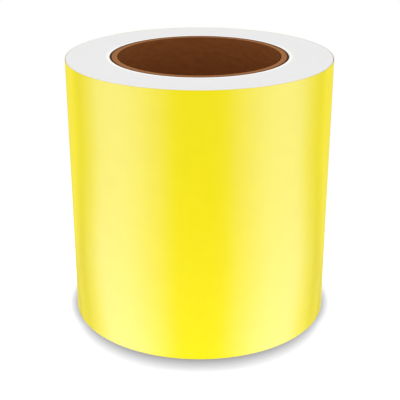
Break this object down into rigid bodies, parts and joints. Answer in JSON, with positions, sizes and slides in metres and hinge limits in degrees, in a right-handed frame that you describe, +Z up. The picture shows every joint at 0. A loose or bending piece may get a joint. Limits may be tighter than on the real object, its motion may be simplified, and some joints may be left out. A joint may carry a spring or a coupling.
{
  "type": "sign vinyl roll",
  "caption": "Roll of coloured self-adhesive sign vinyl on a paper core, with a taped free end that unrolls and a film tip that peels off its liner.",
  "frame": {"origin": "on the axis of the core's bore, at the roll's lower end face", "axes": "+Z up along the core's axis, +Y towards the side where the free end and its closing tape lie, +X to the right seen from the side away from the free end"},
  "size_m": [0.1257, 0.1257, 0.127],
  "materials": {
    "kraft_liner_ply": "matte",
    "core_board": "matte",
    "start_tape": "satin",
    "release_liner": "satin",
    "vinyl_film": "satin",
    "slit_web_edges": "matte",
    "closing_tape": "satin"
  },
  "bodies": {
    "roll": {"core_inner_ply": "kraft_liner_ply", "core_board_ply_1": "core_board", "core_board_ply_2": "core_board", "core_board_ply_3": "core_board", "core_board_ply_4": "core_board", "core_board_ply_5": "core_board", "core_outer_ply": "kraft_liner_ply", "core_start_tape": "start_tape", "first_turn_liner": "release_liner", "first_turn_film": "vinyl_film", "wound_web": "slit_web_edges", "outer_turn_liner": "release_liner", "outer_turn_film": "vinyl_film"},
    "tail_1": {"tail_liner_1": "release_liner", "tail_film_1": "vinyl_film"},
    "tail_2": {"tail_liner_2": "release_liner", "tail_film_2": "vinyl_film"},
    "tail_3": {"tail_liner_3": "release_liner", "tail_film_3": "vinyl_film"},
    "tail_4": {"tail_liner_4": "release_liner", "tail_film_4": "vinyl_film"},
    "tail_5": {"tail_liner_5": "release_liner", "tail_film_5": "vinyl_film"},
    "tail_6": {"tail_liner_6": "release_liner", "tail_film_6": "vinyl_film"},
    "film_end": {"film_tip": "vinyl_film", "closure_tab_stuck_end": "closing_tape"},
    "tab_pull": {"closure_tab_pull_end": "closing_tape"}
  },
  "joints": [
    {"name": "tail_unroll", "type": "hinge", "parent": "roll", "child": "tail_1", "pos_m": [0.04954, 0.03875, 0.0635], "axis": [0, 0, -1], "range_deg": [0, 15.93]},
    {"name": "tail_straighten_2", "type": "hinge", "parent": "tail_1", "child": "tail_2", "pos_m": [0.037, 0.05088, 0.0635], "axis": [0, 0, -1], "range_deg": [0, 15.93]},
    {"name": "tail_straighten_3", "type": "hinge", "parent": "tail_2", "child": "tail_3", "pos_m": [0.02161, 0.05909, 0.0635], "axis": [0, 0, -1], "range_deg": [0, 15.93]},
    {"name": "tail_straighten_4", "type": "hinge", "parent": "tail_3", "child": "tail_4", "pos_m": [0.00456, 0.06277, 0.0635], "axis": [0, 0, -1], "range_deg": [0, 15.93]},
    {"name": "tail_straighten_5", "type": "hinge", "parent": "tail_4", "child": "tail_5", "pos_m": [-0.01285, 0.06163, 0.0635], "axis": [0, 0, -1], "range_deg": [0, 15.93]},
    {"name": "tail_straighten_6", "type": "hinge", "parent": "tail_5", "child": "tail_6", "pos_m": [-0.02927, 0.05575, 0.0635], "axis": [0, 0, -1], "range_deg": [0, 15.93]},
    {"name": "film_peel", "type": "hinge", "parent": "tail_6", "child": "film_end", "pos_m": [-0.03318, 0.05352, 0.0635], "axis": [0, 0, -1], "range_deg": [0, 90]},
    {"name": "tab_peel", "type": "hinge", "parent": "film_end", "child": "tab_pull", "pos_m": [-0.04349, 0.04564, 0.0635], "axis": [0, 0, -1], "range_deg": [0, 120]}
  ],
  "couplings": [
    {"joint": "tail_straighten_2", "follows": "tail_unroll", "ratio": 1},
    {"joint": "tail_straighten_3", "follows": "tail_unroll", "ratio": 1},
    {"joint": "tail_straighten_4", "follows": "tail_unroll", "ratio": 1},
    {"joint": "tail_straighten_5", "follows": "tail_unroll", "ratio": 1},
    {"joint": "tail_straighten_6", "follows": "tail_unroll", "ratio": 1}
  ]
}
